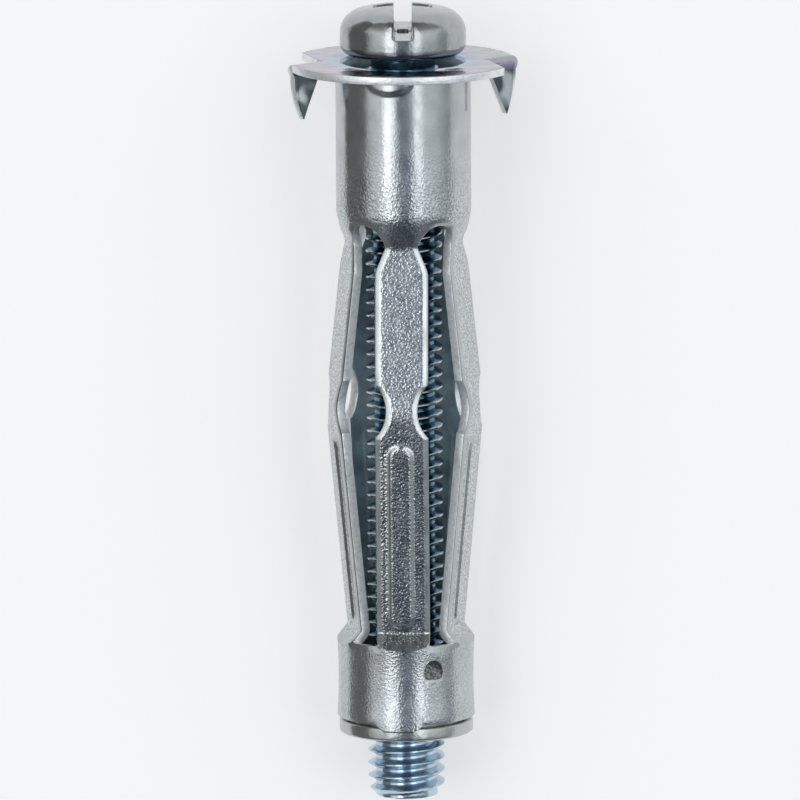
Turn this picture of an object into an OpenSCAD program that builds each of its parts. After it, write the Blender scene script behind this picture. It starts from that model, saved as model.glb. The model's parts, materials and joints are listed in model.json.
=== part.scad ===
// Hollow wall anchor with its machine screw, lying on the flange's rim and the collar's edge.
// The modules build it upright: its axis is Z, the flange's top face is z = 0 and the tip is
// downwards, so a depth s is a height -s. Its front is -Y. laid_down() then lays it on the
// floor, z = 0, with the head towards +Y and the front up.

/* [Flange] */
// Diameter of the flange
flange_d = 17.5; // [15.5:0.1:21]
// Thickness of the flange
flange_t = 0.6; // [0.5:0.02:0.8]
// Radius of the rounded mouth of the bore
mouth_r = 0.95; // [0.8:0.05:1.2]
// Radius of the fillet between the flange and the barrel
root_r = 0.3; // [0.1:0.05:0.6]

/* [Claws] */
// Distance from the axis to the inner end of a claw's fold
claw_reach = 6.6; // [6.3:0.1:7]
// Length of the fold that a claw hangs from
claw_w = 2.7; // [2:0.1:3]
// Depth of a claw's point below the flange's top face
claw_len = 4.4; // [3:0.1:5.5]
// Angle between the fold and the line through both claws
claw_turn = 39; // [30:1:50]
// Angle between the fold and the cut that frees the claw
claw_notch = 112; // [100:1:120]
// Place of a claw's point along its fold, as a share of the fold's length
claw_tip = 0.66; // [0.4:0.02:0.8]

/* [Barrel] */
// Outside diameter of the barrel
barrel_d = 10.4; // [9.2:0.1:12.5]
// Thickness of the sheet
sheet_t = 0.76; // [0.6:0.02:0.92]
// Length of the barrel, from the flange's top face to the top of the slots
barrel_len = 12.25; // [10:0.05:20]
// Width of the boss under the flange
boss_w = 3.9; // [3:0.1:5]
// Depth to which the boss runs down the barrel
boss_len = 2.1; // [1.5:0.1:3]
// Height of the boss above the barrel
boss_rise = 0.25; // [0.15:0.05:0.35]
// Angle of the boss from the front
boss_turn = -12; // [-30:1:30]

/* [Legs] */
// Number of legs
leg_count = 5; // [4:1:6]
// Width of a leg
leg_w = 4.12; // [3.4:0.02:4.2]
// Width of a leg at its two necks
neck_w = 2.48; // [2:0.02:2.8]
// Length of a leg from its top neck to its fold
upper_len = 12.98; // [10:0.02:18]
// Length of a leg from its fold to its foot
lower_len = 17.15; // [14:0.05:22]
// Distance from the axis to a leg's outer face at the fold
fold_reach = 5.87; // [5.4:0.01:6.4]
// Room between the screw and a leg at its top neck
neck_room = 0.71; // [0.4:0.01:0.9]
// Room between the screw and a leg at its foot
foot_room = 0.49; // [0.3:0.01:0.7]
// Half length of the notches that weaken a leg at its fold
notch_half = 2.05; // [1.6:0.05:2.4]
// Angle of the front leg from the front
leg_turn = -2.5; // [-10:0.5:10]

/* [Ribs] */
// Width of the rib pressed into the lower half of a leg
rib_w = 1.85; // [1.5:0.05:2]
// Height of the rib
rib_h = 0.28; // [0.2:0.01:0.35]
// Gap between the fold and the rib
rib_gap = 2.1; // [1.8:0.05:3]

/* [Collar] */
// Outside diameter of the collar
collar_d = 10.6; // [10:0.1:12.7]
// Length of the collar
collar_len = 6.15; // [5:0.05:8]
// Depth of the collar's waist
waist = 0.1; // [0:0.02:0.2]
// Slope of the feet, from the axis out to the collar
foot_slope = 41; // [30:1:50]
// Width of the tab that keeps the nut from turning
tab_w = 3.3; // [2.4:0.1:4]
// Length of the tab below the collar
tab_len = 0.55; // [0.4:0.05:0.8]
// Angle of the tab from the front
tab_turn = -7; // [-20:1:20]
// Angle of the stake mark from the front
stake_turn = 24; // [20:1:40]
// Radius of the punch that makes the stake mark
stake_r = 0.58; // [0.4:0.02:0.7]

/* [Nut] */
// Length of the nut's body inside the collar
nut_len = 4.6; // [3.5:0.1:5]
// Diameter of the nut's flange
nut_flange_d = 10.3; // [9.8:0.1:12.4]
// Thickness of the nut's flange
nut_flange_t = 1.05; // [0.8:0.05:1.4]
// Gap between the collar and the nut's flange
nut_gap = 0.25; // [0.1:0.05:0.35]
// Clearance between the nut and the sleeve
nut_fit = 0.04; // [0.02:0.01:0.08]

/* [Screw] */
// Outside diameter of the thread
screw_d = 5.9; // [4.9:0.1:7.1]
// Length under the head
screw_len = 58; // [56:0.5:75]
// Radial clearance of the screw in the nut
thread_fit = 0.05; // [0.02:0.01:0.08]
// Diameter of the head
head_d = 9.7; // [8.5:0.1:11.7]
// Height of the head
head_h = 3.65; // [3:0.05:4.4]
// Radius of the head's domed top
dome_r = 15; // [12:0.5:30]
// Radius of the head's lower edge
head_foot_r = 1.1; // [0.6:0.05:1.3]
// Radius of the head's upper edge
head_brow_r = 1.85; // [1:0.05:2]
// Gap between the head and the flange
head_gap = 0.7; // [0:0.01:1.5]
// Width of the slot
slot_w = 1.38; // [1:0.02:1.6]
// Depth of the slot below the top of the head
slot_depth = 2.1; // [1.5:0.05:2.4]
// Reach of the cross recess from the axis
cross_reach = 2.3; // [1.8:0.05:2.6]
// Depth of the cross recess below the top of the head
cross_depth = 3; // [2.4:0.05:3.2]
// Radial depth of the chamfer at the tip
tip_chamfer = 0.6; // [0.4:0.05:0.8]
// Length of the chamfer at the tip
tip_len = 0.75; // [0.5:0.05:1]

/* [Hidden] */
$fn = 64;

// overlap that joins two solids, and overshoot of a cut
eps = 0.05;
zinc = "lightsteelblue";
bright_zinc = "gainsboro";

// radii
barrel_r = barrel_d / 2;
bore_r = barrel_r - sheet_t;
flange_r = flange_d / 2;
collar_r = collar_d / 2;
collar_bore_r = collar_r - waist - sheet_t;
screw_r = screw_d / 2;
head_r = head_d / 2;

// the legs' outer faces: distance from the axis, and depth
sector = 360 / leg_count;
neck_reach = screw_r + neck_room + sheet_t;
foot_reach = screw_r + foot_room + sheet_t;
arch_r = neck_reach * sin(sector / 2) - neck_w / 2 * cos(sector / 2);
neck_s = barrel_len + arch_r;
fold_s = neck_s + upper_len;
foot_s = fold_s + lower_len;
foot_end_s = foot_s + (collar_r - foot_reach) / tan(foot_slope);
// the slots end where a foot's corners meet the collar
corner_reach = sqrt(pow(collar_r, 2) - pow(leg_w / 2, 2));
collar_s = foot_s + (corner_reach - foot_reach) / tan(foot_slope) + 2 * eps;
collar_end_s = collar_s + collar_len;
neck_taper = (leg_w - neck_w) * 1.2;
notch_depth = (leg_w - neck_w) / 2;
notch_r = (pow(notch_half, 2) + pow(notch_depth, 2)) / (2 * notch_depth);
notch_s = fold_s - 0.4;
neck_bend = 1.6;
fold_bend = 5;
foot_bend = 1.1;
shoulder_r = 0.25;
// the barrel's neck stands this far outside the legs' flat faces, whose corners lie further out
neck_step = 0.07;

// the outside radius of a claw's fold, and the bow of its outer edge as a share of its width
fold_r = 0.45;
claw_bow = 0.12;

// radius of the ball whose cap stands out of the barrel as the boss
boss_ball = 2.6;

// the stake mark lies on the collar over the nut, struck at a slant
stake_s = collar_s + 1.45;
stake_slant = 62;

// the ribs are capsules sunk into the legs
upper_slope = atan((fold_reach - neck_reach) / upper_len);
lower_slope = atan((fold_reach - foot_reach) / lower_len);
rib_r = (pow(rib_w / 2, 2) + pow(rib_h, 2)) / (2 * rib_h);
rib_sink = rib_r - rib_h;
rib_start = rib_gap / cos(lower_slope);
rib_end = (lower_len - foot_bend / 3) / cos(lower_slope);

// nut and screw
nut_s = collar_end_s + nut_gap;
nut_end_s = nut_s + nut_flange_t;
nut_r = collar_bore_r - nut_fit;
head_top = head_gap + head_h;
screw_end_s = screw_len - head_gap;

// resting on the flange's rim and on the collar's lower edge
lean = atan((flange_r - collar_r) / (collar_end_s - flange_t));
rest_h = flange_r * cos(lean) + flange_t * sin(lean);
top_y = head_top * cos(lean) + dome_r * (1 - cos(lean));
tip_y = -screw_end_s * cos(lean) - (screw_r - tip_chamfer) * sin(lean);
mid_y = (top_y + tip_y) / 2;

function unit(v) = v / norm(v);
function left_of(v) = [-v[1], v[0]];
function turned(v, a) = [v[0] * cos(a) - v[1] * sin(a), v[0] * sin(a) + v[1] * cos(a)];
function arc(centre, r, from, to, steps = 6) =
    [for (k = [0 : steps]) centre + r * [cos(from + (to - from) * k / steps),
                                         sin(from + (to - from) * k / steps)]];

// The arc that rounds corner b of a strip's outer face, for the face that lies deep below it.
function bend(a, b, c, r, deep) =
    let (into = unit(b - a),
         out = unit(c - b),
         turn = asin(into[0] * out[1] - into[1] * out[0]),
         side = sign(turn),
         start = b - into * r * tan(abs(turn) / 2),
         centre = start + left_of(into) * side * r,
         steps = 5)
    [for (k = [0 : steps])
        centre + turned((start - centre) / r * (r + side * deep), turn * k / steps)];

// A strip's face: path holds the outer face's corners, radii the bend at each inner corner.
function strip_face(path, radii, deep) =
    let (last = len(path) - 1)
    concat([path[0] - left_of(unit(path[1] - path[0])) * deep],
           [for (i = [1 : last - 1])
               each bend(path[i - 1], path[i], path[i + 1], radii[i - 1], deep)],
           [path[last] - left_of(unit(path[last] - path[last - 1])) * deep]);

function reversed(list) = [for (i = [len(list) - 1 : -1 : 0]) list[i]];

// Places a child, drawn upright at the front, at an angle round the axis.
module around(angle) rotate([0, 0, angle]) children();

// Extrudes an outline drawn as (across, height) from the axis to the front.
module to_front(reach) rotate([90, 0, 0]) linear_extrude(height = reach) children();

// Extrudes a profile drawn as (distance from the axis, height), across the front.
module across_front(width)
    rotate([90, 0, -90])
        linear_extrude(height = width, center = true) children();

// ---- sleeve ----

// Flange, barrel and the neck-in above the legs, one drawn sheet.
module flared_barrel() {
    wall = [[barrel_r, -flange_t - 2 * root_r],
            [barrel_r, -barrel_len],
            [neck_reach + neck_step, -neck_s]];
    mouth = arc([bore_r + mouth_r, -mouth_r], mouth_r, 180, 90);
    root = arc([barrel_r + root_r, -flange_t - root_r], root_r, 90, 180);
    rim = [[flange_r, 0], [flange_r, -flange_t]];
    rotate_extrude($fn = 128)
        polygon(concat(mouth, rim, root,
                       strip_face(wall, [neck_bend], 0),
                       reversed(strip_face(wall, [neck_bend], sheet_t))));
}

// The slots' round tops, cut through the neck-in.
module arches()
    for (i = [0 : leg_count - 1])
        around(leg_turn + (i + 0.5) * sector)
            translate([0, -neck_reach + sheet_t + 0.3, 0])
                to_front(barrel_r) {
                    translate([0, -neck_s]) circle(r = arch_r);
                    translate([-arch_r, -neck_s - 1]) square([2 * arch_r, 1]);
                }

// Puts a child at both claws: x runs outwards along the fold, y into the flange.
module at_claws()
    for (side = [0, 180])
        around(side)
            translate([-claw_reach, 0.2, 0])
                rotate([0, 0, 180 + claw_turn]) mirror([0, 1, 0]) children();

// Where the sheet was cut away and folded down: a wedge from the fold's inner end.
module claw_gap()
    translate([0, 0, -flange_t - eps])
        linear_extrude(height = flange_t + 2 * eps)
            polygon([[0, 0], [flange_d, 0], flange_d * [cos(claw_notch), sin(claw_notch)]]);

// A claw, straight on its inner edge and bowed on its outer one.
module claw() {
    point = [claw_w * claw_tip, -claw_len];
    outer = [for (k = [0 : 5])
        let (f = k / 5)
        [claw_w, 0] * (1 - f) + point * f + [claw_w * claw_bow * sin(180 * f), 0]];
    rotate([90, 0, 0])
        linear_extrude(height = flange_t)
            polygon(concat([[0, 0]], outer));
}

// Rounds the outer edge of a claw's fold.
module fold_rounding()
    translate([-eps, 0, 0])
        rotate([90, 0, 90])
            linear_extrude(height = claw_w + 1)
                difference() {
                    translate([-fold_r, -fold_r]) square(2 * fold_r);
                    translate([-fold_r, -fold_r]) circle(r = fold_r);
                    translate([-2 * fold_r, -2 * fold_r]) square([fold_r, 4 * fold_r]);
                }

// Half-moon boss pressed out of the barrel under the flange.
module boss()
    around(boss_turn)
        intersection() {
            translate([-boss_w / 2, -barrel_r - 1, -boss_len])
                cube([boss_w, 1.5, boss_len - flange_t]);
            translate([0, -barrel_r - boss_rise + boss_ball, -flange_t]) sphere(r = boss_ball);
        }

// One leg's outline, (across, height): necks at its top and at its fold.
module leg_outline() {
    edge = concat([[neck_w / 2 - eps, -neck_s + eps]],
                  [[leg_w / 2, -neck_s - neck_taper]],
                  notch_edge(),
                  [[leg_w / 2, -foot_end_s - 1]]);
    polygon(concat(edge, reversed([for (p = edge) [-p[0], p[1]]])));
}

function notch_edge() =
    let (open = asin(notch_half / notch_r))
    arc([neck_w / 2 + notch_r, -notch_s], notch_r, 180 - open, 180 + open, 10);

// One leg's section along the axis, (distance from the axis, height).
module leg_strip() {
    path = [[neck_reach - eps * tan(upper_slope), -neck_s + eps],
            [fold_reach, -fold_s],
            [foot_reach, -foot_s],
            [collar_r, -foot_end_s]];
    bends = [fold_bend, foot_bend];
    polygon(concat(strip_face(path, bends, 0), reversed(strip_face(path, bends, sheet_t))));
}

// A capsule along the lower half of a leg, below its outer face by rib_sink.
module rib_capsule(r) {
    length = rib_end - rib_start - 2 * rib_w / 2;
    translate([0, -fold_reach, -fold_s])
        rotate([lower_slope, 0, 0])
            translate([0, rib_sink, -rib_start - rib_w / 2 - length])
                rotate_extrude()
                    intersection() {
                        union() {
                            circle(r = r);
                            translate([0, length]) circle(r = r);
                            translate([-r, 0]) square([2 * r, length]);
                        }
                        translate([0, -r]) square([r, length + 2 * r]);
                    }
}

module rib_slab()
    translate([0, -fold_reach, -fold_s])
        rotate([lower_slope, 0, 0])
            translate([-rib_w, -rib_h - 1, -rib_end])
                cube([2 * rib_w, rib_h + 1 + sheet_t / 2, rib_end - rib_start + 1]);

module leg()
    difference() {
        union() {
            intersection() {
                to_front(fold_reach + 1) leg_outline();
                across_front(2 * leg_w) leg_strip();
            }
            intersection() {
                rib_capsule(rib_r);
                rib_slab();
            }
        }
        rib_capsule(rib_r - sheet_t);
    }

module legs()
    intersection() {
        union()
            for (i = [0 : leg_count - 1]) around(leg_turn + i * sector) leg();
        union() {
            translate([0, 0, -foot_s]) cylinder(r = fold_reach + 2, h = foot_s);
            translate([0, 0, -foot_end_s - 2])
                cylinder(r = collar_r - eps, h = foot_end_s + 2 - foot_s + eps);
        }
    }

module collar() {
    middle_s = (collar_s + collar_end_s) / 2;
    wall = [[collar_r, -collar_s - shoulder_r],
            [collar_r - waist, -middle_s],
            [collar_r, -collar_end_s]];
    rotate_extrude($fn = 128)
        polygon(concat([[collar_bore_r, -collar_s],
                        [collar_r - shoulder_r, -collar_s]],
                       strip_face(wall, [20], 0),
                       [[collar_bore_r, -collar_end_s]]));
}

// A short arc of the collar's wall that reaches down into the nut's flange.
module tab(width, from_s, to_s, in_r, out_r) {
    half = asin(width / 2 / collar_r);
    translate([0, 0, -to_s])
        rotate([0, 0, -90 + tab_turn - half])
            rotate_extrude(angle = 2 * half)
                translate([in_r, 0]) square([out_r - in_r, to_s - from_s]);
}

module stake_mark()
    around(stake_turn)
        translate([0, -collar_r - 2 * eps, -stake_s])
            rotate([stake_slant, 0, 0]) cylinder(r = stake_r, h = 1, center = true);

module sleeve()
    color(zinc)
        difference() {
            union() {
                difference() {
                    flared_barrel();
                    arches();
                    at_claws() claw_gap();
                }
                at_claws() claw();
                boss();
                legs();
                collar();
                tab(tab_w, collar_end_s - eps, collar_end_s + tab_len, collar_bore_r, collar_r);
            }
            stake_mark();
            at_claws() fold_rounding();
        }

// ---- nut ----

module nut()
    color(zinc)
        difference() {
            rotate_extrude($fn = 128) {
                chamfer = 0.3;
                flange = nut_flange_d / 2;
                in_r = screw_r + thread_fit;
                polygon([[in_r, -nut_end_s + chamfer], [in_r + chamfer, -nut_end_s],
                         [flange - chamfer / 2, -nut_end_s], [flange, -nut_end_s + chamfer / 2],
                         [flange, -nut_s - chamfer / 2], [flange - chamfer / 2, -nut_s],
                         [nut_r, -nut_s], [nut_r, -nut_s + nut_len - chamfer],
                         [nut_r - chamfer, -nut_s + nut_len], [in_r, -nut_s + nut_len]]);
            }
            tab(tab_w + 2 * nut_fit, nut_s - 1, collar_end_s + tab_len + nut_fit,
                collar_bore_r - nut_fit, collar_r + 1);
        }

// ---- screw ----

module head_profile() {
    outline = [[screw_r, head_gap],
               [head_r, head_gap],
               [head_r, head_top],
               [0, head_top]];
    polygon(concat([[0, head_gap]], strip_face(outline, [head_foot_r, head_brow_r], 0)));
}

module cross_recess() {
    arm_w = slot_w * 0.9;
    intersection() {
        union()
            for (a = [0, 90])
                rotate([0, 0, a])
                    translate([-arm_w / 2, -cross_reach, head_top - cross_depth])
                        cube([arm_w, 2 * cross_reach, cross_depth + eps]);
        translate([0, 0, head_top - cross_depth])
            cylinder(r1 = 0.6, r2 = cross_reach, h = cross_depth + eps);
    }
}

module screw()
    color(bright_zinc)
        difference() {
            union() {
                intersection() {
                    rotate_extrude($fn = 128) head_profile();
                    translate([0, 0, head_top - dome_r]) sphere(r = dome_r);
                }
                rotate_extrude($fn = 128)
                    polygon([[0, -screw_end_s], [screw_r - tip_chamfer, -screw_end_s],
                             [screw_r, -screw_end_s + tip_len], [screw_r, head_gap + eps],
                             [0, head_gap + eps]]);
            }
            translate([-slot_w / 2, -head_r - 1, head_top - slot_depth])
                cube([slot_w, head_d + 2, slot_depth + 1]);
            cross_recess();
        }

// Lays the upright anchor down: the head's end is raised by the flange.
module laid_down()
    translate([0, -mid_y, rest_h])
        rotate([-90 + lean, 0, 0]) children();

laid_down() sleeve();
laid_down() nut();
laid_down() screw();
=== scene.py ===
"""Hollow wall anchor lying on its flange's rim and its collar's edge, on a pale floor."""
import json
from math import asin, atan2, ceil, cos, degrees, hypot, pi, radians, sin, sqrt, tan, tau
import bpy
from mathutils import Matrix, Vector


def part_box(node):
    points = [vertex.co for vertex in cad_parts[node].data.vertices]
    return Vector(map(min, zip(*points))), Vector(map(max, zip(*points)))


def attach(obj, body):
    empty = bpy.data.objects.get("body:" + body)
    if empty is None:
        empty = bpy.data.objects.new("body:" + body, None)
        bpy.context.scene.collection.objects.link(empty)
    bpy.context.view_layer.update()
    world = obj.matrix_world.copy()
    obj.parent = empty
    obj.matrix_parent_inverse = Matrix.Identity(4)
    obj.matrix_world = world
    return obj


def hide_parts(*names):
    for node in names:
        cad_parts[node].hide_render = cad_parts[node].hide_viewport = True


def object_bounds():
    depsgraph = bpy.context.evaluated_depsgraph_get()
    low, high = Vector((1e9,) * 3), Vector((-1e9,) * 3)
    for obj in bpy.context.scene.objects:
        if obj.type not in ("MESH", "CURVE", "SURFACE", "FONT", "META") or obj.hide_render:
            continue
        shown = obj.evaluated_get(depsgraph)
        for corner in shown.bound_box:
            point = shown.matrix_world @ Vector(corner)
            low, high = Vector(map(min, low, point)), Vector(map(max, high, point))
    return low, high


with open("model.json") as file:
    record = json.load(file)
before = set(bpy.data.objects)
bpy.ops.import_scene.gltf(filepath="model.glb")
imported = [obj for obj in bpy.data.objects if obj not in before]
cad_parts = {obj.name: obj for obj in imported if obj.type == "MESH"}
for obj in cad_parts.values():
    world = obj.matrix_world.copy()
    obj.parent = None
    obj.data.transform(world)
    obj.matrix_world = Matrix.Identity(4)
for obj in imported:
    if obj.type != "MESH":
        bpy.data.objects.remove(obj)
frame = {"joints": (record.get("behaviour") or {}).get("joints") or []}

from types import SimpleNamespace

import bmesh
import bpy
from bmesh.types import BMEdge, BMVert
from bpy.props import FloatProperty, FloatVectorProperty, IntProperty, PointerProperty
from bpy.types import NodeSocket, Operator, Panel, PropertyGroup
from mathutils import Matrix, Vector

bl_info = {
    "name": "Hollow Wall Anchor",
    "version": (1, 0, 0),
    "blender": (4, 5, 0),
    "location": "3D View > Sidebar > Anchor",
    "description": "Builds a zinc-plated hollow wall anchor on its packed model",
    "category": "Add Mesh",
}

MM = 0.001
CAD_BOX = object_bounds()
SCREW_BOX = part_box("screw")
NUT_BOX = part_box("nut")

# The anchor is modelled upright: its axis is Z, the flange's top face is z = 0 and the front is
# -Y. A depth is a distance below that face. LAID_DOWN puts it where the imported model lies.
TURN = frame["joints"][0]
SEAT = Vector(TURN["pos_m"])
AXIS = Vector(TURN["axis"]).normalized()
ACROSS = Vector((1, 0, 0))
LAID_DOWN = Matrix.Translation(SEAT) @ Matrix((ACROSS, AXIS.cross(ACROSS), AXIS)).transposed().to_4x4()
LEAN = atan2(AXIS.z, AXIS.y)
UP = Vector((0, 0, 1))
ROUND_STEPS = 96


def size(name, description, length):
    """A length property whose default is given in millimetres."""
    return FloatProperty(name=name, description=description, default=length * MM, min=0, unit="LENGTH",
                         precision=5)


def angle(name, description, turn):
    """An angle property whose default is given in degrees."""
    return FloatProperty(name=name, description=description, default=radians(turn), subtype="ANGLE")


def colour(name, description, value):
    """A colour property."""
    return FloatVectorProperty(name=name, description=description, default=value,
                               min=0, max=1, subtype="COLOR")


class SleeveSizes(PropertyGroup):
    """Sizes of the sleeve, one drawn and slotted sheet. A reach is a distance from the axis."""
    flange_d: size("Flange", "Diameter of the flange", 17.5)
    flange_t: size("Flange thickness", "Thickness of the flange and the claws", 0.6)
    root_r: size("Root", "Radius of the fillet under the flange", 0.3)
    barrel_d: size("Barrel", "Outside diameter of the barrel", 10.4)
    sheet_t: size("Sheet", "Thickness of the sheet", 0.76)
    barrel_len: size("Barrel length", "Depth of the slots' round tops", 12.25)
    boss_w: size("Boss width", "Width of the boss under the flange", 3.9)
    boss_len: size("Boss depth", "Depth of the boss's lower end", 2.1)
    boss_rise: size("Boss rise", "Height of the boss above the barrel", 0.2)
    boss_turn: angle("Boss angle", "Angle of the boss from the front", -12)
    leg_count: IntProperty(name="Legs", description="Number of legs", default=5, min=3, max=8)
    leg_w: size("Leg", "Width of a leg", 4.12)
    neck_w: size("Neck", "Width of a leg at its two necks", 2.48)
    neck_reach: size("Neck reach", "Reach of a leg's face at its top neck", 4.42)
    fold_reach: size("Fold reach", "Reach of a leg's face at its fold", 5.87)
    foot_reach: size("Foot reach", "Reach of a leg's face at its foot", 4.2)
    upper_len: size("Upper leg", "Length of a leg from its top neck to its fold", 12.98)
    lower_len: size("Lower leg", "Length of a leg from its fold to its foot", 17.15)
    notch_half: size("Notch", "Half length of the notches at the fold", 2.05)
    notch_lift: size("Notch lift", "Height of the notches above the fold", 0.4)
    foot_slope: angle("Foot slope", "Slope of the feet out to the collar", 41)
    leg_turn: angle("Leg angle", "Angle of the front leg from the front", -2.5)
    edge_band: size("Edge band", "Width of the rolled edge of a leg", 0.45)
    edge_drop: size("Edge drop", "Fall of the rolled edge", 0.12)
    rib_w: size("Rib", "Width of the rib on the lower half of a leg", 2.2)
    rib_h: size("Rib height", "Height of the rib", 0.22)
    rib_flank: size("Rib flank", "Width of the rib's rounded flank", 0.42)
    rib_aside: size("Rib aside", "Offset of the rib to its leg's left", 0.12)
    rib_gap: size("Rib gap", "Gap between the fold and the rib", 2.1)
    rib_stop: size("Rib stop", "Gap between the rib and the foot", 0.15)
    collar_d: size("Collar", "Outside diameter of the collar", 10.6)
    collar_len: size("Collar length", "Length of the collar", 6.15)
    waist: size("Waist", "Depth of the collar's waist", 0.1)
    tab_w: size("Tab", "Width of the tab that holds the nut", 3.7)
    tab_len: size("Tab length", "Length of the tab below the collar", 0.55)
    tab_turn: angle("Tab angle", "Angle of the tab from the front", -7)
    stake_turn: angle("Stake angle", "Angle of the stake mark from the front", 24)
    stake_r: size("Stake radius", "Radius of the stake mark", 0.8)
    claw_reach: size("Claw reach", "Reach of a claw's fold", 6.6)
    claw_w: size("Claw", "Width of a claw at its fold", 2.7)
    claw_len: size("Claw length", "Depth of a claw's point", 4.4)
    claw_turn: angle("Claw angle", "Angle of the fold to the line of the claws", 39)
    claw_notch: angle("Claw notch", "Angle of the cut beside the claw to the fold", 112)
    claw_tip: FloatProperty(name="Claw point", description="Place of a claw's point along its fold",
                            default=0.66, min=0.3, max=0.9, subtype="FACTOR")
    claw_bend: size("Claw bend", "Inside radius of a claw's fold", 0.12)
    edge_r: size("Sheared edge", "Rounding of the sheared edges", 0.06)


class NutSizes(PropertyGroup):
    """Sizes of the nut in the collar."""
    body_len: size("Body", "Length of the nut's body inside the collar", 4.6)
    flange_t: size("Ring", "Thickness of the ring below the collar", 1.05)
    gap: size("Gap", "Gap between the collar and the ring", 0.25)
    fit: size("Fit", "Clearance from the nut to the sleeve", 0.04)
    chamfer: size("Chamfer", "Chamfer of the thread's mouth", 0.4)
    edge_r: size("Edge", "Rounding of the ring's edges", 0.22)


class ScrewSizes(PropertyGroup):
    """Sizes of the screw."""
    thread_d: size("Thread", "Outside diameter of the thread", 5.9)
    pitch: size("Pitch", "Distance from one thread to the next", 1.0)
    thread_depth: size("Thread depth", "Depth of the thread", 0.6)
    tip_chamfer: size("Tip chamfer", "Length of the chamfer at the tip", 0.75)
    length: size("Length", "Length under the head", 57.82)
    head_gap: size("Head gap", "Gap between the head and the flange", 0.52)
    head_h: size("Head height", "Height of the head", 3.83)
    foot_r: size("Head foot", "Radius of the head's lower edge", 0.85)
    brow_r: size("Head brow", "Radius of the head's upper edge", 1.85)
    dome_r: size("Dome", "Radius of the head's domed top", 15)
    slot_w: size("Slot width", "Width of the slot", 1.38)
    slot_depth: size("Slot depth", "Depth of the slot", 2.1)
    cross_reach: size("Cross reach", "Reach of the cross recess from the axis", 2.3)
    cross_depth: size("Cross depth", "Depth of the cross recess", 3.0)
    edge_r: size("Slot edge", "Rounding of the slot's edges", 0.07)


class Finishes(PropertyGroup):
    """Colours of the metals and of the stage."""
    zinc: colour("Zinc", "Bright zinc plate on the sheet", (0.5, 0.525, 0.53))
    zinc_shade: colour("Zinc shade", "Duller patches of the plate", (0.43, 0.45, 0.45))
    sheared: colour("Sheared edge", "Thin plate on the sheared edges", (0.93, 0.95, 0.95))
    inside: colour("Inside", "Blue plate on the inside of the sleeve", (0.62, 0.77, 0.83))
    iridescent: colour("Iridescence", "Lavender tint on the flange's top", (0.56, 0.49, 0.62))
    # painted shade and reflection of the head: dark blue on the flange round the head
    head_shade_and_reflection: colour("Under the head", "Blue plate on the flange near the head", (0.3, 0.38, 0.5))
    # painted shade: this dark colour stands for the sleeve's shade on the thread inside it
    thread: colour("Thread", "Dark plate on the thread inside the sleeve", (0.1, 0.2, 0.27))
    screw: colour("Screw", "Blue passivated plate on the screw", (0.5, 0.64, 0.76))
    nut: colour("Nut", "Dull plate on the nut", (0.44, 0.46, 0.42))
    floor: colour("Floor", "Pale floor", (0.57, 0.575, 0.58))


# ---- outlines ----

def arc(centre, radius, start, end, steps):
    """Points of an arc from one angle to another, in degrees, as (across, up)."""
    turns = [radians(start + (end - start) * k / steps) for k in range(steps + 1)]
    return [(centre[0] + radius * cos(t), centre[1] + radius * sin(t)) for t in turns]


def bent(at, corners):
    """Height of a line through (place, height, half length of the bend) corners."""
    value = corners[0][1]
    for (x0, y0, _), (x1, y1, _) in zip(corners, corners[1:]):
        if at >= x0:
            value = y0 + (y1 - y0) / (x1 - x0) * (at - x0)
    for (x0, y0, _), (x1, y1, reach), (x2, y2, _) in zip(corners, corners[1:], corners[2:]):
        if abs(at - x1) < reach:
            before, after = (y1 - y0) / (x1 - x0), (y2 - y1) / (x2 - x1)
            value = y1 + before * (at - x1) + (after - before) * (at - x1 + reach) ** 2 / (4 * reach)
    return value


def eased(share):
    """0 to 1 with a soft start and end."""
    share = min(max(share, 0), 1)
    return share * share * (3 - 2 * share)


def mixed(a, b, share):
    """The value between a and b."""
    return a + (b - a) * share


def on_round(turn, radius, depth):
    """The point at an angle from the front, a distance from the axis and a depth."""
    return Vector((radius * sin(turn), -radius * cos(turn), -depth))


# ---- mesh tools ----

def outline(bm, points, closed=False):
    """Adds a line through (distance from the axis, height) points, in the plane y = 0."""
    verts = [bm.verts.new((x, 0, z)) for x, z in points]
    pairs = list(zip(verts, verts[1:])) + ([(verts[-1], verts[0])] if closed else [])
    return verts + [bm.edges.new(pair) for pair in pairs]


def only(kind, geom):
    """The vertices, edges or faces among some geometry."""
    return [part for part in geom if isinstance(part, kind)]


def everything(bm):
    """All the geometry of a bmesh."""
    return bm.verts[:] + bm.edges[:] + bm.faces[:]


def swung(bm, turn, verts=None):
    """Turns vertices about the axis."""
    bmesh.ops.rotate(bm, verts=verts or bm.verts, cent=(0, 0, 0), matrix=Matrix.Rotation(turn, 3, "Z"))


def swept(bm, geom, turn, steps, centre=(0, 0, 0), axis=UP, rise=0.0, closed=False):
    """Sweeps geometry round an axis, rising at each step, and returns its last edges."""
    return only(BMEdge, bmesh.ops.spin(
        bm, geom=geom, cent=centre, axis=axis, dvec=(0, 0, rise), angle=turn, steps=steps,
        use_merge=closed)["geom_last"])


def turned(points, closed=False):
    """A new bmesh with an outline turned once round the axis."""
    bm = bmesh.new()
    swept(bm, outline(bm, points, closed), tau, ROUND_STEPS, closed=True)
    tidied(bm)
    return bm


def block(*sides):
    """A new bmesh with a box about the origin."""
    bm = bmesh.new()
    bmesh.ops.create_cube(bm, size=1)
    bmesh.ops.scale(bm, verts=bm.verts, vec=sides)
    return bm


def tidied(bm):
    """Merges doubled points and turns the faces outwards."""
    bmesh.ops.remove_doubles(bm, verts=bm.verts, dist=1e-3 * MM)
    bmesh.ops.dissolve_degenerate(bm, edges=bm.edges, dist=1e-3 * MM)
    bmesh.ops.recalc_face_normals(bm, faces=bm.faces)


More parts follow.
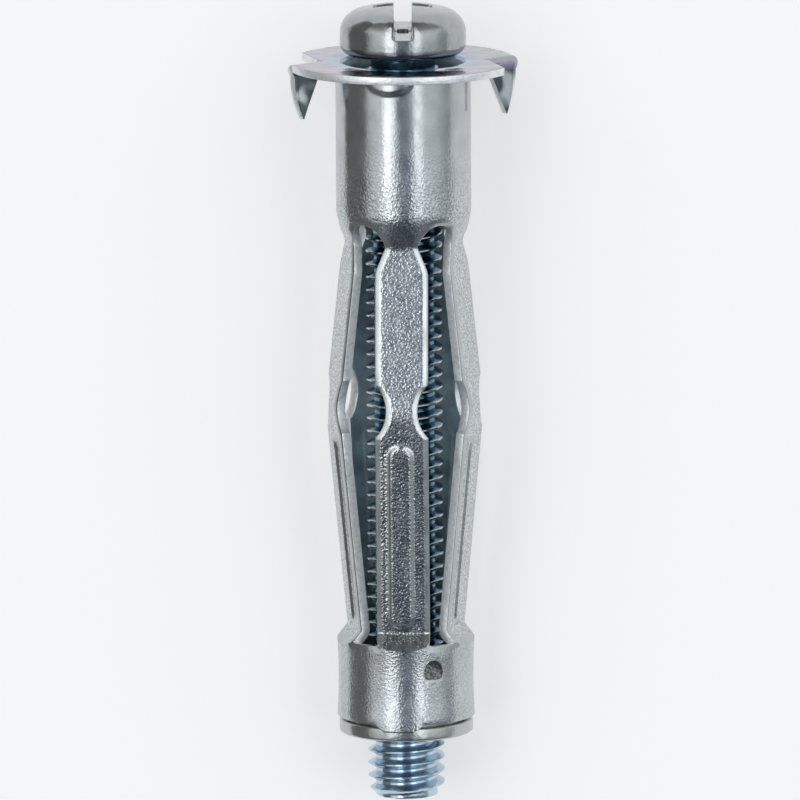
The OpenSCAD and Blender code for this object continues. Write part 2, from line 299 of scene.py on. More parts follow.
def rounded(bm, edges, width, segments):
    """Rounds edges of a bmesh."""
    bmesh.ops.bevel(bm, geom=edges, offset=width, segments=segments, profile=0.5, affect="EDGES",
                    material=-1)


def new_object(data):
    """An object in the scene for a mesh, a lamp or a camera."""
    obj = bpy.data.objects.new(data.name, data)
    bpy.context.scene.collection.objects.link(obj)
    return obj


def new_piece(name, bm, *materials):
    """An object of a bmesh with its materials."""
    mesh = bpy.data.meshes.new(name)
    bm.to_mesh(mesh)
    bm.free()
    for material in materials:
        mesh.materials.append(material)
    return new_object(mesh)


def modified(obj, kind, **settings):
    """Adds a modifier and applies it."""
    modifier = obj.modifiers.new(kind.title(), kind)
    for key, value in settings.items():
        setattr(modifier, key, value)
    graph = bpy.context.evaluated_depsgraph_get()
    mesh = bpy.data.meshes.new_from_object(obj.evaluated_get(graph), depsgraph=graph)
    old = obj.data
    obj.modifiers.clear()
    obj.data = mesh
    mesh.name = obj.name
    bpy.data.meshes.remove(old)


def combined(obj, name, bm, operation="DIFFERENCE"):
    """Takes a solid out of a piece, or joins it to the piece."""
    other = new_piece(name, bm)
    modified(obj, "BOOLEAN", object=other, operation=operation, solver="EXACT")
    mesh = other.data
    bpy.data.objects.remove(other)
    bpy.data.meshes.remove(mesh)


def softened(obj, width, chosen):
    """Rounds the edges of a piece that a test picks."""
    bm = bmesh.new()
    bm.from_mesh(obj.data)
    bm.normal_update()
    rounded(bm, [e for e in bm.edges if len(e.link_faces) == 2 and chosen(e)], width, 2)
    bm.to_mesh(obj.data)
    bm.free()


def seated(obj, body, node, sharp=40):
    """Lays a finished piece down and lets it stand for its CAD node."""
    obj.data.transform(LAID_DOWN)
    obj.data.shade_smooth()
    obj.data.set_sharp_from_angle(angle=radians(sharp))
    modified(obj, "WEIGHTED_NORMAL", keep_sharp=True, weight=80)
    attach(obj, body)
    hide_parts(node)


# ---- materials ----

def new_material(name, roughness, metallic=0.0):
    """A material and its shader."""
    material = bpy.data.materials.new(name)
    material.use_nodes = True
    shader = material.node_tree.nodes["Principled BSDF"]
    shader.inputs["Roughness"].default_value = roughness
    shader.inputs["Metallic"].default_value = metallic
    return material, shader


def new_node(tree, kind, output, entries=(), **settings):
    """Adds a shader node, fills its inputs with values or outputs, and returns an output."""
    node = tree.nodes.new("ShaderNode" + kind)
    for key, value in settings.items():
        setattr(node, key, value)
    inputs = {entry.identifier: entry for entry in node.inputs}
    for key, value in dict(entries).items():
        if isinstance(value, NodeSocket):
            tree.links.new(value, inputs[key])
        else:
            inputs[key].default_value = value
    return next(result for result in node.outputs if result.identifier == output)


def toned(tone, share):
    """A colour that is a share as bright."""
    return tuple(share * part for part in tone)


class Finish:
    """A procedural metal under construction, with coordinates in the anchor's own axes.

    Its place is in millimetres: x across, y along the axis and z to the front. Its methods
    add nodes and return an output for the next one.
    """

    def __init__(self, name, roughness, metallic=1.0):
        self.material, self.shader = new_material(name, roughness, metallic)
        turn = Matrix.Rotation(-LEAN, 4, "X")
        entries = {"Vector": self.add("TexCoord", "Object"), "Rotation": (-LEAN, 0, 0),
                   "Scale": (1 / MM,) * 3, "Location": -(turn @ (SEAT / MM))}
        self.place = self.add("Mapping", "Vector", entries)

    def add(self, kind, output, entries=(), **settings):
        """A new node's output."""
        return new_node(self.material.node_tree, kind, output, entries, **settings)

    def stretched(self, across, along):
        """The place with its scale changed across and along the axis."""
        return self.add("Mapping", "Vector", {"Vector": self.place, "Scale": (across, along, across)})

    def noise(self, scale, detail=2.0, place=None):
        """A noise of so many features per millimetre."""
        entries = {"Vector": place or self.place, "Scale": scale, "Detail": detail}
        return self.add("TexNoise", "Fac", entries)

    def ramp(self, source, low=0.0, high=1.0, start=0.3, end=0.7):
        """A value spread from low to high as the source goes from start to end."""
        entries = {"Value": source, "From Min": start, "From Max": end, "To Min": low, "To Max": high}
        return self.add("MapRange", "Result", entries, interpolation_type="SMOOTHSTEP")

    def blend(self, share, first, second):
        """A colour between two colours, each written out or taken from a node."""
        entries = {"Factor_Float": share}
        for key, tone in (("A_Color", first), ("B_Color", second)):
            entries[key] = tone if isinstance(tone, NodeSocket) else (*tone, 1)
        return self.add("Mix", "Result_Color", entries, data_type="RGBA")

    def times(self, first, second):
        """The product of two values."""
        return self.add("Math", "Value", {"Value": first, "Value_001": second}, operation="MULTIPLY")

    def height(self):
        """Height along the axis, from 0 at the flange's top face."""
        return self.add("SeparateXYZ", "Y", {"Vector": self.place})

    def within(self, middle, reach):
        """1 within a reach of a height, and 0 beyond it."""
        entries = {"Value": self.height(), "Value_001": middle, "Value_002": reach}
        return self.add("Math", "Value", entries, operation="COMPARE")

    def from_axis(self):
        """Distance from the anchor's axis."""
        return self.add("VectorMath", "Value", {"Vector": self.stretched(1.0, 0.0)}, operation="LENGTH")

    def feed(self, entry, output):
        """Gives one of the shader's inputs a node's output."""
        self.material.node_tree.links.new(output, self.shader.inputs[entry])

    def bump(self, source, height, under=None):
        """Raises the surface by a height in millimetres where the source is 1."""
        entries = {"Distance": height * MM, "Height": source}
        if under:
            entries["Normal"] = under
        normal = self.add("Bump", "Normal", entries)
        self.feed("Normal", normal)
        return normal

    def done(self, colour, scale, height, detail=2.0):
        """The material, with its colour and with fine bumps."""
        self.feed("Base Color", colour)
        self.bump(self.noise(scale, detail), height)
        return self.material

    def claw_painted_reflection(self, colours):
        """Painted reflection on a claw: a dark, mirror-like plate with bright clouds."""
        clouds = self.ramp(self.noise(0.5, 1.0), start=0.5, end=0.68)
        return self.blend(clouds, toned(colours.inside, 0.2), toned(colours.zinc, 1.4))


def plated_sheet(colours):
    """Bright zinc on the sleeve's outside: grainy where pressed flat, smooth where rolled."""
    coat = Finish("zinc_outside", 0.25)
    plate = coat.blend(coat.ramp(coat.noise(0.45, 4.0)), colours.zinc, colours.zinc_shade)
    specks = coat.blend(coat.ramp(coat.noise(6.5, 1.0), start=0.36, end=0.64),
                          toned(colours.zinc, 0.66), toned(colours.zinc, 1.36))
    pressed = coat.add("Attribute", "Fac", attribute_name="grain")
    sheet = coat.blend(coat.ramp(pressed, 0.0, 0.8, 0.2, 1.1), plate, specks)
    # painted reflection on the outer faces of the claws
    on_claw = coat.times(coat.ramp(coat.from_axis(), start=5.7, end=5.9), coat.within(-3.3, 2.5))
    coat.feed("Base Color", coat.blend(on_claw, sheet, coat.claw_painted_reflection(colours)))
    coat.feed("Roughness", coat.ramp(coat.noise(1.3, 3.0, coat.stretched(1.0, 0.5)), 0.15, 0.27))
    coarse = coat.bump(coat.times(coat.noise(5.5, 1.0), pressed), 0.036)
    coat.bump(coat.noise(1.0, 3.0, coat.stretched(5.0, 0.3)), 0.003, coarse)
    return coat.material


def sheared_edge(colours):
    """Thin, slightly torn plate on the sheared edges of the sheet."""
    coat = Finish("zinc_sheared", 0.32, metallic=0.6)
    patches = coat.ramp(coat.noise(3.0), 0.0, 0.5, 0.4, 0.8)
    return coat.done(coat.blend(patches, colours.sheared, colours.zinc), 6.0, 0.035)


def plated_inside(colours):
    """Dull blue plate in the sleeve's bore and behind the legs."""
    coat = Finish("zinc_inside", 0.42, metallic=0.25)
    clouds = coat.ramp(coat.noise(0.6, 3.0))
    return coat.done(coat.blend(clouds, colours.inside, toned(colours.inside, 0.6)), 5.0, 0.012)


def plated_flange(colours):
    """Mirror-bright plate with lavender clouds on the flange's top, a painted shade and reflection of the
    head in dark blue round the head, and a painted reflection on the claws' backs.
    """
    coat = Finish("zinc_flange", 0.1)
    clouds = coat.ramp(coat.noise(0.35, 3.0), start=0.38, end=0.55)
    tint = coat.blend(clouds, toned(colours.zinc, 0.74), toned(colours.iridescent, 0.74))
    # painted shade and reflection of the head: dark blue near the axis, fading out into the tint
    face = coat.blend(coat.ramp(coat.from_axis(), start=4.9, end=6.6), colours.head_shade_and_reflection, tint)
    # painted reflection on the claws' backs
    on_claw = coat.ramp(coat.height(), 1.0, 0.0, -1.2, -0.5)
    coat.feed("Roughness", coat.ramp(coat.noise(1.2, 3.0), 0.07, 0.16))
    return coat.done(coat.blend(on_claw, face, coat.claw_painted_reflection(colours)), 0.45, 0.1, detail=1.0)


def stake_mark_shade(colours):
    """Painted shade in the stake mark: dark plate with lighter patches."""
    coat = Finish("zinc_stake_shade", 0.35)
    patchy_shade = coat.ramp(coat.noise(6.0), 0.0, 0.6, 0.35, 0.7)
    return coat.done(coat.blend(patchy_shade, toned(colours.zinc, 0.2), colours.zinc), 5.0, 0.05)


def rolled_thread(colours):
    """Zinc on the screw: blue on the free thread, grey on the head, and painted shade on the thread in
    the sleeve and under the head, with painted glints on its crests.
    """
    coat = Finish("zinc_screw", 0.2)
    head = coat.ramp(coat.height(), start=-1.0, end=1.0)
    ends = coat.blend(head, colours.screw, toned(colours.zinc_shade, 0.84))
    bright = coat.blend(coat.ramp(coat.noise(0.9, 3.0), 0.0, 0.35), ends, colours.zinc)
    # painted glints: the crests in the sleeve keep the bright zinc
    crest = coat.ramp(coat.from_axis(), start=2.82, end=2.95)
    thread_shade_and_glints = coat.blend(crest, colours.thread, colours.zinc)
    coat.feed("Roughness", coat.ramp(coat.noise(2.0), 0.12, 0.24))
    # painted shade on the shank from the nut up to just under the head
    return coat.done(coat.blend(coat.within(-26.0, 26.7), bright, thread_shade_and_glints), 4.0, 0.012)


def turned_ring(colours):
    """Dull zinc on the nut."""
    coat = Finish("zinc_nut", 0.22)
    patches = coat.noise(0.9, 3.0)
    return coat.done(coat.blend(patches, colours.nut, colours.zinc), 3.0, 0.02, detail=3.0)


# ---- sleeve ----

# the sleeve's material slots; the punched slot paints shade in the stake mark
OUTSIDE, INSIDE, SHEARED, TOP, PUNCHED = range(5)

# the zones down a sector: the rows of each in the sector's grid, and its share of the legs' grain
ZONES = {"flange": (6, 0.1), "root": (5, 0.1), "under": (13, 0.1), "barrel": (9, 1.0),
         "shoulder": (6, 1.0), "arch": (12, 0.8), "neck": (11, 1.0), "upper": (6, 1.0),
         "notch": (22, 1.0), "gap": (3, 1.0), "rib_top": (10, 1.0), "rib": (12, 1.0),
         "rib_end": (10, 1.0), "foot": (9, 1.0), "lens": (3, 0.9), "fan": (9, 0.6),
         "collar": (10, 0.6)}
# the grid's columns, as shares of half a sector, closer at the rib's flank and the edges
HALF_COLUMNS = (0, .12, .24, .32, .36, .40, .44, .48, .52, .60, .70, .775, .82, .865, .92, 1)


def worked_out(sizes):
    """The sleeve's sizes, with the places that follow from them."""
    s = SimpleNamespace(**{key: getattr(sizes, key) for key in sizes.__annotations__})
    s.flange_r, s.barrel_r, s.collar_r = s.flange_d / 2, s.barrel_d / 2, s.collar_d / 2
    s.inner_r = s.collar_r - s.waist - s.sheet_t
    s.claw_inset = s.flange_t + s.claw_bend
    s.half_sector = pi / s.leg_count
    s.arch_r = s.neck_reach * sin(s.half_sector) - s.neck_w / 2 * cos(s.half_sector)
    s.neck = s.barrel_len + s.arch_r
    s.fold = s.neck + s.upper_len
    s.foot = s.fold + s.lower_len
    s.foot_bend = s.foot + 0.1 * MM
    s.foot_end = s.foot + (s.collar_r - s.foot_reach) / tan(s.foot_slope)
    s.corner_turn = asin(s.leg_w / 2 / s.collar_r)
    s.collar = lens_depth(s, s.leg_w / 2) + 0.1 * MM
    s.collar_end = s.collar + s.collar_len
    s.notch = s.fold - s.notch_lift
    notch_depth = (s.leg_w - s.neck_w) / 2
    s.notch_r = (s.notch_half ** 2 + notch_depth ** 2) / (2 * notch_depth)
    s.rib_top = s.fold + s.rib_gap
    s.rib_end = s.foot - s.rib_stop
    s.faces = [(0, s.barrel_r, 0), (s.barrel_len, s.barrel_r, 1.0 * MM), (s.neck, s.neck_reach, 0.5 * MM),
               (s.fold, s.fold_reach, 0.55 * MM), (s.foot, s.foot_reach, 0.08 * MM),
               (s.foot_end, s.collar_r, 0)]
    s.barrel_zones = between(("under", "barrel", "shoulder"), (
        s.flange_t + s.root_r, s.boss_len + 0.3 * MM, s.barrel_len - 1.0 * MM, s.barrel_len))
    s.leg_zones = between(("neck", "upper", "notch", "gap", "rib_top", "rib", "rib_end", "foot"), (
        s.neck, s.neck + 2.4 * MM, s.notch - s.notch_half, s.notch + s.notch_half, s.rib_top,
        s.rib_top + s.rib_w / 2, s.rib_end - s.rib_w / 2, s.rib_end, s.foot_bend))
    return s


def between(zones, depths):
    """The depths at which each of a chain of zones starts and ends."""
    return dict(zip(zones, zip(depths, depths[1:])))


def lens_depth(s, across):
    """Depth at which a foot's flat face meets the collar's round one."""
    reach = sqrt(s.collar_r ** 2 - across ** 2)
    return s.foot + (reach - s.foot_reach) / tan(s.foot_slope)


def half_width(s, depth):
    """Half width of a leg at a depth."""
    full, neck = s.leg_w / 2, s.neck_w / 2
    if abs(depth - s.notch) < s.notch_half:
        return neck + s.notch_r - sqrt(s.notch_r ** 2 - (depth - s.notch) ** 2)
    taper = 1.2 * (s.leg_w - s.neck_w)
    return bent(depth, [(s.neck - 1, neck, 0), (s.neck, neck, 0.25 * MM),
                        (s.neck + taper, full, 0.3 * MM), (s.collar_end, full, 0)])


def rolled(s, from_edge):
    """Fall of the face near a cut edge."""
    return s.edge_drop * max(1 - from_edge / s.edge_band, 0) ** 1.3


def rib_rise(s, across, depth):
    """Height of the rib: a flat-topped capsule with rounded flanks."""
    end_r = s.rib_w / 2
    nearest = min(max(depth, s.rib_top + end_r), s.rib_end - end_r)
    inside = end_r - hypot(across + s.rib_aside, depth - nearest)
    return s.rib_h * eased(inside / s.rib_flank)


def on_sheet(s, u, zone, share):
    """Place of a grid point on the outer face, and its distance from the slots' edges.

    The point is a share of the way down its zone, and u runs from -1 to 1 across the sector.
    """
    if zone == "flange":
        radius = mixed(s.flange_r, s.barrel_r + s.root_r, share)
        return on_round(u * s.half_sector, radius, s.flange_t), s.edge_band
    if zone == "root":
        turn = share * pi / 2
        radius = s.barrel_r + s.root_r * (1 - sin(turn))
        depth = s.flange_t + s.root_r * (1 - cos(turn))
        return on_round(u * s.half_sector, radius, depth), s.edge_band
    if zone in s.barrel_zones:
        return on_barrel(s, u, mixed(*s.barrel_zones[zone], share))
    if zone == "arch":
        return on_arch(s, u, share * pi / 2)
    if zone in s.leg_zones:
        depth = mixed(*s.leg_zones[zone], share)
        half = half_width(s, depth)
        return on_leg(s, u * half, depth, half * (1 - abs(u)))
    return on_collar(s, u, zone, share)


def on_barrel(s, u, depth):
    """A point of the barrel, which narrows to the necks."""
    from_arch = hypot((1 - abs(u)) * s.half_sector * s.barrel_r, s.neck - depth) - s.arch_r
    radius = bent(depth, s.faces) - rolled(s, from_arch)
    return on_round(u * s.half_sector, radius, depth), from_arch


def on_arch(s, u, turn):
    """A point beside a slot's round top, where the round barrel turns into flat legs."""
    edge_depth = s.neck - s.arch_r * cos(turn)
    middle_depth = s.barrel_len + s.arch_r * turn / (pi / 2)
    depth = mixed(middle_depth, edge_depth, abs(u) ** 3)
    reach = bent(depth, s.faces)
    aside = s.arch_r * sin(turn)
    edge_turn = s.half_sector - asin(aside / reach)
    flat_edge = reach * tan(s.half_sector) - aside / cos(s.half_sector)
    flatness = eased((depth - s.barrel_len) / s.arch_r)
    from_slot = reach * sin(s.half_sector - abs(u) * edge_turn)
    from_edge = hypot(from_slot, s.neck - depth) - s.arch_r
    drop = rolled(s, from_edge)
    round_point = on_round(u * edge_turn, reach - drop, depth)
    flat_point = Vector((u * flat_edge, -reach + drop, -depth))
    return round_point.lerp(flat_point, flatness), from_edge


def on_leg(s, across, depth, from_edge):
    """A point of a leg's flat face."""
    reach = bent(depth, s.faces) - rolled(s, from_edge) + rib_rise(s, across, depth)
    return Vector((across, -reach, -depth)), from_edge


def on_collar(s, u, zone, share):
    """A point of a foot below its bend, of the fan of faces under it or of the collar."""
    across = u * s.leg_w / 2
    lens_end = lens_depth(s, across)
    if zone == "lens":
        return on_leg(s, across, mixed(s.foot_bend, lens_end, share), s.leg_w / 2 * (1 - abs(u)))
    fan_end = s.collar + 1.6 * MM * (1 - abs(u) ** 6)
    if zone == "fan":
        turn = mixed(asin(across / s.collar_r), u * s.half_sector, share)
        depth = mixed(lens_end, fan_end, share)
        if abs(u) == 1:
            depth = mixed(depth, s.collar, min(share * 6, 1))
    else:
        turn = u * s.half_sector
        depth = mixed(fan_end, s.collar_end, share)
    aside = max(s.corner_turn - abs(turn), 0) * s.collar_r
    from_edge = hypot(max(depth - s.collar, 0), aside)
    middle = (s.collar + s.collar_end) / 2
    bow = 1 - ((depth - middle) / (s.collar_len / 2)) ** 2
    radius = s.collar_r - s.waist * max(bow, 0) - rolled(s, from_edge)
    return on_round(turn, radius, depth), from_edge


def grain_at(s, zone, point, from_edge):
    """How much of the pressed grain a point of a zone shows."""
    depth = -point.z
    grain = ZONES[zone][1]
    if zone in ("barrel", "shoulder"):
        grain = mixed(0.15, 0.9, eased((depth / s.barrel_len - 0.3) / 0.7))
    elif zone in ("rib_top", "rib", "rib_end"):
        raised = rib_rise(s, point.x, depth) / s.rib_h
        grain = 1 - 3.2 * raised * (1 - raised)
    elif zone == "lens" and depth > s.collar - 0.1 * MM:
        grain = 0.1
    return grain * eased((from_edge - 0.25 * MM) / (0.35 * MM))


def sheet_sector(s):
    """One sector of the sheet's outer face, from a grid laid on its shape."""
    rows = [(zone, k / count) for zone, (count, _) in ZONES.items() for k in range(count)]
    rows.append(("collar", 1.0))
    shares = [-u for u in reversed(HALF_COLUMNS[1:])] + list(HALF_COLUMNS)
    bm = bmesh.new()
    grain = bm.verts.layers.float.new("grain")
    bmesh.ops.create_grid(bm, x_segments=len(shares) - 1, y_segments=len(rows) - 1, size=1)
    for vert in bm.verts:
        column = round((vert.co.x + 1) / 2 * (len(shares) - 1))
        zone, share = rows[round((1 - vert.co.y) / 2 * (len(rows) - 1))]
        vert.co, from_edge = on_sheet(s, shares[column], zone, share)
        vert[grain] = grain_at(s, zone, vert.co, from_edge)
    return bm


def repeated_round(bm, count, start):
    """Repeats the mesh round the axis, from a first angle."""
    swung(bm, start)
    sector = everything(bm)
    for k in range(1, count):
        copy = bmesh.ops.duplicate(bm, geom=sector)["geom"]
        swung(bm, tau * k / count, only(BMVert, copy))
    tidied(bm)


def press_boss(bm, s):
    """Presses the half-moon boss out of the barrel."""
    for vert in bm.verts:
        depth = -vert.co.z
        across = abs(turn_of(vert.co) - s.boss_turn) * s.barrel_r / (s.boss_w / 2)
        if s.flange_t + 0.5 * s.root_r <= depth <= s.boss_len and across <= 1:
            edge = mixed(s.flange_t + 0.2 * MM, s.boss_len, sqrt(1 - across ** 2))
            rise = s.boss_rise * eased((edge - depth) / (0.45 * MM)) * sqrt(1 - across ** 4)
            vert.co += Vector((vert.co.x, vert.co.y, 0)).normalized() * rise


def parted(bm, faces, place, point, normal):
    """Cuts faces along a plane that is given in the axes of a place."""
    geom = {part for face in faces for part in (face, *face.edges, *face.verts)}
    bmesh.ops.bisect_plane(bm, geom=list(geom), dist=1e-4 * MM, plane_co=place @ Vector(point),
                           plane_no=(place.to_3x3() @ Vector(normal)).normalized())


def drawn_out(bm, edges, drop):
    """Draws a row of edges down, and returns the new edges and vertices."""
    geom = bmesh.ops.extrude_edge_only(bm, edges=edges)["geom"]
    verts = only(BMVert, geom)
    bmesh.ops.translate(bm, verts=verts, vec=(0, 0, -drop))
    return only(BMEdge, geom), verts


def claw_frame(s, side):
    """A claw's own axes: x outwards along its fold, y away from the flange, z up."""
    return (Matrix.Rotation(side, 4, "Z") @ Matrix.Translation((-s.claw_reach, 0.2 * MM, 0))
            @ Matrix.Rotation(pi + s.claw_turn, 4, "Z") @ Matrix.Scale(-1, 4, (0, 1, 0)))


def near_claw(bm, s, local, chosen):
    """The flange's faces near a claw whose centres, in the claw's axes, pass a test."""
    spots = [(face, local @ face.calc_center_median()) for face in bm.faces]
    return [face for face, at in spots if abs(at.z + s.flange_t) < 0.01 * MM
            and at.x > -1.8 * MM and at.y > -1.6 * MM and chosen(at)]


def free_claw(bm, s, place):
    """Cuts a wedge of the flange away beside a claw, and returns the edges at its fold."""
    local, inset = place.inverted(), s.claw_inset
    slant = Vector((cos(s.claw_notch), sin(s.claw_notch)))
    cuts = ((lambda at: True, (0, -inset, 0), (0, 1, 0)),
            (lambda at: at.y > -inset, (0, 0, 0), (1, 0, 0)),
            (lambda at: at.y > -inset and at.x < 0.4 * MM, (0, 0, 0), (0, 1, 0)),
            (lambda at: at.y > 0, (0, 0, 0), (-slant.y, slant.x, 0)))
    for chosen, point, normal in cuts:
        parted(bm, near_claw(bm, s, local, chosen), place, point, normal)
    gone = near_claw(bm, s, local, lambda at: (at.y > 0 and at.xy.cross(slant) > 0)
                     or (-inset < at.y <= 0 and at.x > 0))
    bmesh.ops.delete(bm, geom=gone, context="FACES")

    def at_fold(vert):
        spot = local @ vert.co
        return (abs(spot.y + inset) < 0.002 * MM and spot.x > -0.002 * MM
                and abs(spot.z + s.flange_t) < 0.01 * MM)

    return [e for e in bm.edges if e.is_boundary and all(at_fold(v) for v in e.verts)]


def fold_claw(bm, s, side):
    """Folds a claw down from the flange, and tapers it to its point."""
    place, inset, rows = claw_frame(s, side), s.claw_inset, 14
    local = place.inverted()
    fold = free_claw(bm, s, place)
    root = {v for e in fold for v in e.verts}
    root_w = max((local @ v.co).x for v in root)
    before = set(bm.verts)
    away = (place.to_3x3() @ Vector((0, 1, 0))).normalized()
    edges = swept(bm, list(root) + fold, pi / 2, 4, place @ Vector((0, -inset, -inset)), UP.cross(away))
    for _ in range(rows):
        edges = drawn_out(bm, edges, (s.claw_len - 0.04 * MM - inset) / rows)[0]
    tip = s.claw_tip * s.claw_w
    for vert in [v for v in bm.verts if v not in before]:
        spot = local @ vert.co
        down = (-spot.z - s.flange_t) / (s.claw_len - s.flange_t)
        spare = (root_w - s.claw_w) * (1 - eased(down / 0.08))
        outer = mixed(s.claw_w, tip, down) + 0.1 * s.claw_w * sin(pi * down) + spare
        spot.x = mixed(tip * down, outer, spot.x / root_w)
        vert.co = place @ spot


def draw_tab(bm, s):
    """Draws the tab down from the collar's lower edge."""
    half, rows = asin(s.tab_w / 2 / s.collar_r), 5
    for end in (s.tab_turn - half, s.tab_turn + half):
        faces = [x for x in bm.faces if x.calc_center_median().z < -s.collar_end + 0.8 * MM
                 and abs(turn_of(x.calc_center_median()) - end) < 0.15]
        parted(bm, faces, Matrix(), (0, 0, 0), (cos(end), sin(end), 0))
    low = -s.collar_end + 0.001 * MM
    edges = [e for e in bm.edges if e.is_boundary and all(v.co.z < low for v in e.verts)
             and abs(turn_of((e.verts[0].co + e.verts[1].co) / 2) - s.tab_turn) < half]
    for k in range(rows):
        edges, verts = drawn_out(bm, edges, s.tab_len / rows)
        narrowed(verts, s.tab_turn, tab_share((k + 1) / rows) / tab_share(k / rows))


def tab_share(down):
    """Share of the tab's width left at a share of its length."""
    return 1 - 0.42 * max(down, 0) ** 1.6


def narrowed(verts, middle, share):
    """Draws vertices in towards an angle from the front."""
    for vert in verts:
        turn = middle + (turn_of(vert.co) - middle) * share
        vert.co = on_round(turn, hypot(vert.co.x, vert.co.y), -vert.co.z)


def turn_of(point):
    """Angle of a point from the front."""
    return atan2(point.x, -point.y)


def faced_outwards(bm, s):
    """Turns the sheet's faces away from the axis."""
    bmesh.ops.recalc_face_normals(bm, faces=bm.faces)
    bm.normal_update()
    wall = next(x for x in bm.faces if abs(x.calc_center_median().z + s.barrel_len / 2) < 1 * MM)
    if wall.normal.xy.dot(wall.calc_center_median().xy) < 0:
        bmesh.ops.reverse_faces(bm, faces=bm.faces)


def thicknesses(bm, s):
    """Marks the flange and the claws as thinner than the rest of the sheet."""
    group = bm.verts.layers.deform.verify()
    for vert in bm.verts:
        within_barrel = hypot(vert.co.x, vert.co.y) < s.barrel_r + 0.5 * s.root_r
        full = within_barrel or vert.co.z < -s.claw_len - 1 * MM
        vert[group][0] = 1.0 if full else s.flange_t / s.sheet_t


def stake_punch(s):
    """The punch that marked the collar over the nut."""
    bm = bmesh.new()
    bmesh.ops.create_cone(bm, cap_ends=True, segments=32, radius1=s.stake_r, radius2=s.stake_r,
                          depth=1 * MM, matrix=Matrix.Rotation(radians(62), 4, "X"))
    # the punch's faces become the stake mark's walls, in the punched slot's painted shade
    for face in bm.faces:
        face.material_index = PUNCHED
    bmesh.ops.translate(bm, verts=bm.verts, vec=(0, -s.collar_r - 0.1 * MM, -s.collar - 1.95 * MM))
    swung(bm, s.stake_turn)
    return bm


class ANCHOR_OT_sleeve(Operator):
    """Builds the sleeve from one sector of sheet, repeated, slotted, folded and thickened."""
    bl_idname = "anchor.sleeve"
    bl_label = "Sleeve"

    def execute(self, context):
        s, colours = worked_out(context.scene.anchor_sleeve), context.scene.anchor_finishes
        bm = sheet_sector(s)
        repeated_round(bm, s.leg_count, s.leg_turn)
        press_boss(bm, s)
        for side in (0, pi):
            fold_claw(bm, s, side)
        draw_tab(bm, s)
        faced_outwards(bm, s)
        thicknesses(bm, s)
        makers = (plated_sheet, plated_inside, sheared_edge, plated_flange, stake_mark_shade)
        obj = new_piece("sleeve_sheet", bm, *(maker(colours) for maker in makers))
        obj.vertex_groups.new(name="thickness")
        modified(obj, "SOLIDIFY", thickness=s.sheet_t, offset=-1, use_even_offset=True,
                 vertex_group="thickness", material_offset=INSIDE, material_offset_rim=SHEARED)
        for face in obj.data.polygons:
            beyond_bore = face.center.z > -s.claw_len and face.center.xy.length > 4.75 * MM
            if face.material_index == INSIDE and beyond_bore:
                face.material_index = TOP
        combined(obj, "stake_punch", stake_punch(s))

        def sheared(edge):
            kinds = {face.material_index for face in edge.link_faces}
            return SHEARED in kinds and len(kinds) == 2 and edge.calc_length() > 0.02 * MM

        softened(obj, s.edge_r, sheared)
        seated(obj, "anchor", "sleeve")
        return {"FINISHED"}


# ---- nut ----

def tab_notch(s, p, top):
    """The room for the sleeve's tab in the nut's ring."""
    half, rows = asin((s.tab_w / 2 + p.fit) / s.collar_r), 6
    start, end = -s.collar_end, -s.collar_end - s.tab_len - p.fit
    heights = [mixed(end, start, k / rows) for k in range(rows + 1)] + [top + 1 * MM]
    section = [(s.inner_r - p.fit, z) for z in heights]
    section += [(s.collar_r + 1 * MM, z) for z in reversed(heights)]
    bm = bmesh.new()
    edges = only(BMEdge, outline(bm, section, closed=True))
    bmesh.ops.contextual_create(bm, geom=edges)
    swung(bm, -pi / 2 + s.tab_turn - half)
    swept(bm, everything(bm), 2 * half, 16)
    for vert in bm.verts:
        narrowed([vert], s.tab_turn, tab_share((start - vert.co.z) / (start - end)))
    tidied(bm)
    return bm


class ANCHOR_OT_nut(Operator):
    """Builds the nut, a turned body in the collar with a ring below it."""
    bl_idname = "anchor.nut"
    bl_label = "Nut"

    def execute(self, context):
        p, s = context.scene.anchor_nut, worked_out(context.scene.anchor_sleeve)
        screw, colours = context.scene.anchor_screw, context.scene.anchor_finishes
        top = -s.collar_end - p.gap
        low, high = top - p.flange_t, top + p.body_len
        ring_r = (NUT_BOX[1].x - NUT_BOX[0].x) / 2
        bore_r = screw.thread_d / 2 + 0.05 * MM
        body_r = s.inner_r - p.fit
        points = [(bore_r, low + p.chamfer), (bore_r + p.chamfer, low)]
        points += arc((ring_r - p.edge_r, low + p.edge_r), p.edge_r, -90, 0, 6)
        points += arc((ring_r - p.edge_r, top - p.edge_r), p.edge_r, 0, 90, 6)
        points += [(body_r, top), (body_r, high - p.chamfer), (body_r - p.chamfer, high), (bore_r, high)]
        obj = new_piece("nut_ring", turned(points, closed=True), turned_ring(colours))
        combined(obj, "tab_notch", tab_notch(s, p, top))
        seated(obj, "anchor", "nut")
        return {"FINISHED"}


# ---- screw ----

